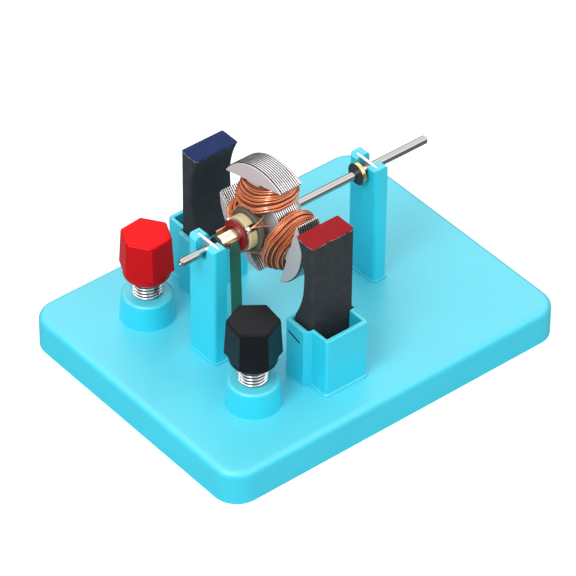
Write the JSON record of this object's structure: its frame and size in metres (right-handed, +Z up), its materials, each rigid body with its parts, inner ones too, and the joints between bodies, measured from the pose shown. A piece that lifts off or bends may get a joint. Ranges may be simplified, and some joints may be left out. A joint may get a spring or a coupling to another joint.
{
  "type": "demonstration electric motor",
  "caption": "Open-frame direct-current demonstration motor: a three-pole wound armature on a shaft turns between two standing magnets on a moulded base with two binding posts.",
  "frame": {"origin": "centre of the base's underside", "axes": "+X along the shaft from the commutator end to the output end, +Y across the base towards the red terminal, +Z up"},
  "size_m": [0.11, 0.085, 0.0607],
  "materials": {
    "base_plastic": "smooth, softly glossy moulded plastic",
    "red_plastic": "glossy moulded plastic",
    "black_plastic": "satin moulded plastic",
    "ferrite": "matte sintered ferrite, painted on top",
    "steel": "polished steel rod",
    "end_plate_steel": "smooth plated sheet",
    "lamination_steel": "dark sheet edges",
    "bearing_metal": "cut sheet",
    "segment_metal": "plated copper",
    "chrome": "plated thread",
    "brass": "turned brass",
    "spring_bronze": "rolled strip",
    "copper": "enamelled copper wire",
    "hub_nylon": "cream moulded nylon",
    "spacer_nylon": "grey moulded nylon",
    "red_fibre": "hard red fibre",
    "dark_fibre": "dark fibre",
    "varistor_ceramic": "dark olive ceramic"
  },
  "bodies": {
    "base": {"base_plate": "base_plastic", "front_post": "base_plastic", "rear_post": "base_plastic", "north_socket": "base_plastic", "south_socket": "base_plastic", "front_bearing_plate": "bearing_metal", "rear_bearing_plate": "bearing_metal", "north_magnet": "ferrite", "south_magnet": "ferrite", "red_brush": "spring_bronze", "black_brush": "spring_bronze", "red_stud": "chrome", "black_stud": "chrome", "red_washer": "steel", "black_washer": "steel", "red_nut": "brass", "black_nut": "brass"},
    "rotor": {"shaft": "steel", "front_washer": "dark_fibre", "commutator_hub": "hub_nylon", "insulating_ring": "red_fibre", "varistor": "varistor_ceramic", "front_end_plate": "end_plate_steel", "rear_end_plate": "end_plate_steel", "rear_spacer": "spacer_nylon", "rear_collar": "brass", "commutator_segment_1": "segment_metal", "commutator_segment_2": "segment_metal", "commutator_segment_3": "segment_metal", "lamination_01": "lamination_steel", "lamination_02": "lamination_steel", "lamination_03": "lamination_steel", "lamination_04": "lamination_steel", "lamination_05": "lamination_steel", "lamination_06": "lamination_steel", "lamination_07": "lamination_steel", "lamination_08": "lamination_steel", "lamination_09": "lamination_steel", "lamination_10": "lamination_steel", "coil_1": "copper", "coil_2": "copper", "coil_3": "copper"},
    "red_insert": {"red_insert": "brass"},
    "red_cap": {"red_cap": "red_plastic"},
    "black_insert": {"black_insert": "brass"},
    "black_cap": {"black_cap": "black_plastic"}
  },
  "joints": [
    {"name": "rotor_spin", "type": "hinge", "parent": "base", "child": "rotor", "pos_m": [0, 0, 0.044], "axis": [1, 0, 0], "continuous": true},
    {"name": "red_cap_travel", "type": "slide", "parent": "base", "child": "red_insert", "axis": [0, 0, 1], "range_m": [-0.0052, 0.0045]},
    {"name": "red_cap_turn", "type": "hinge", "parent": "red_insert", "child": "red_cap", "pos_m": [-0.0317, 0.0218, 0.0301], "axis": [0, 0, 1], "range_deg": [-1872.4, 1620.4]},
    {"name": "black_cap_travel", "type": "slide", "parent": "base", "child": "black_insert", "axis": [0, 0, 1], "range_m": [-0.0052, 0.0045]},
    {"name": "black_cap_turn", "type": "hinge", "parent": "black_insert", "child": "black_cap", "pos_m": [-0.0317, -0.0218, 0.0301], "axis": [0, 0, 1], "range_deg": [-1872.4, 1620.4]}
  ],
  "couplings": [
    {"joint": "red_cap_turn", "follows": "red_cap_travel", "rad_per_m": 6283.2},
    {"joint": "black_cap_turn", "follows": "black_cap_travel", "rad_per_m": 6283.2}
  ]
}
